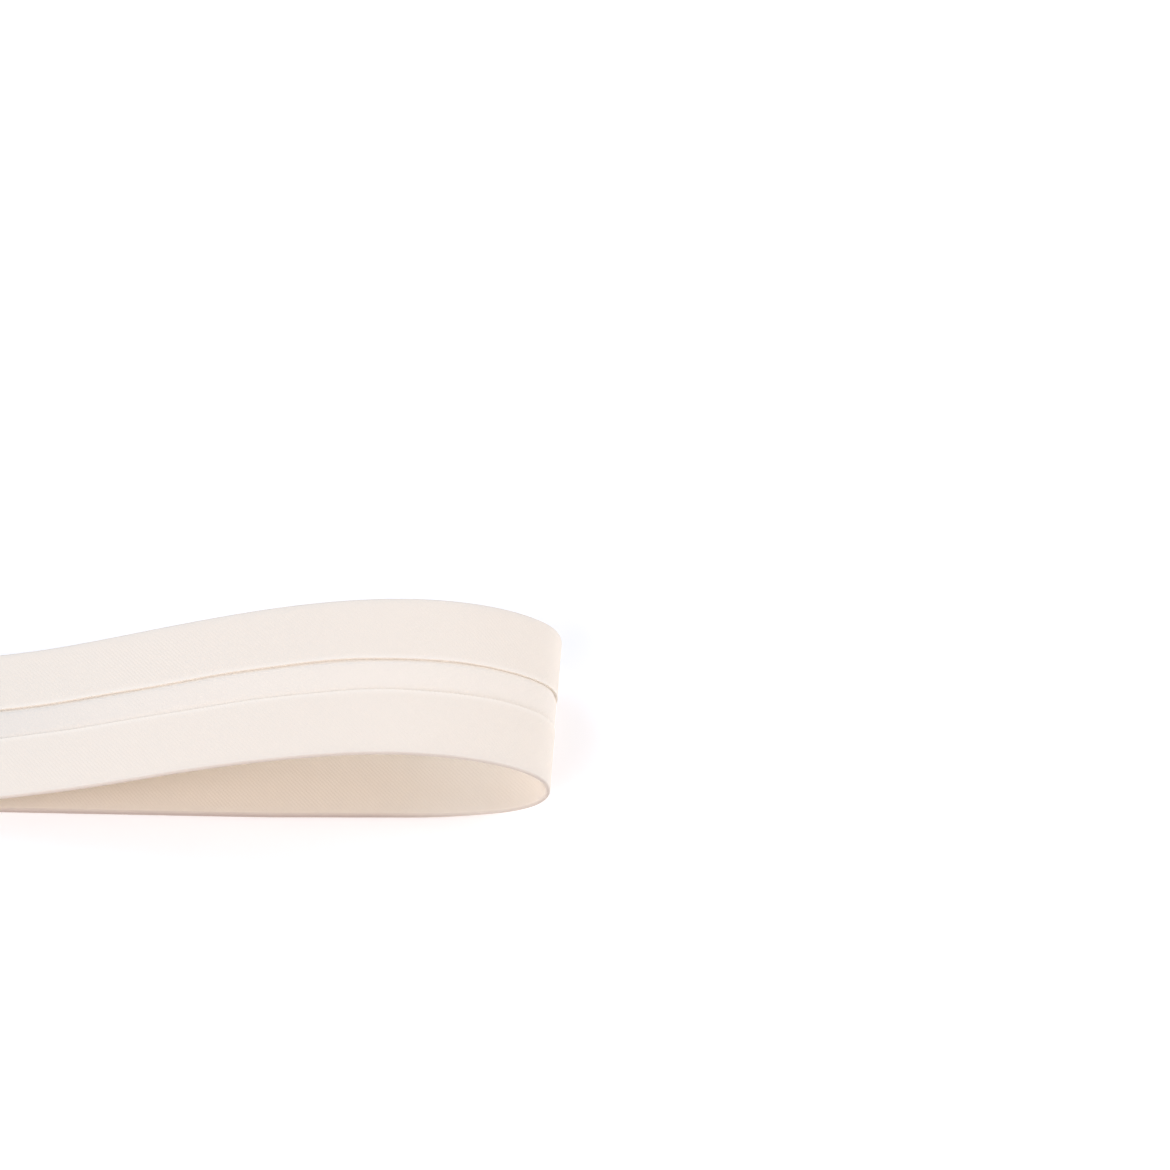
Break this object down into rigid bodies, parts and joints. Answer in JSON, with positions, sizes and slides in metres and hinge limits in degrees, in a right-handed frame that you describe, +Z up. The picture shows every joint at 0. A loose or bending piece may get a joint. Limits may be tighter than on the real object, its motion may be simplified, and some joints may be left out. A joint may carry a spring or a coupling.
{
  "type": "folded length of bias tape",
  "caption": "Length of cream cotton bias tape turned back on itself in a soft loop, its pressed-in long edges showing on the outside.",
  "frame": {"origin": "middle of the tape's box, on the surface that it lies on", "axes": "+X along the tape towards the tip of the loop, +Y across the tape, +Z up"},
  "size_m": [0.1006, 0.0216, 0.0156],
  "materials": {
    "cotton": "matte plain-weave cotton cut on the bias, pressed flat"
  },
  "bodies": {
    "root": {"tape": "cotton"}
  },
  "joints": []
}
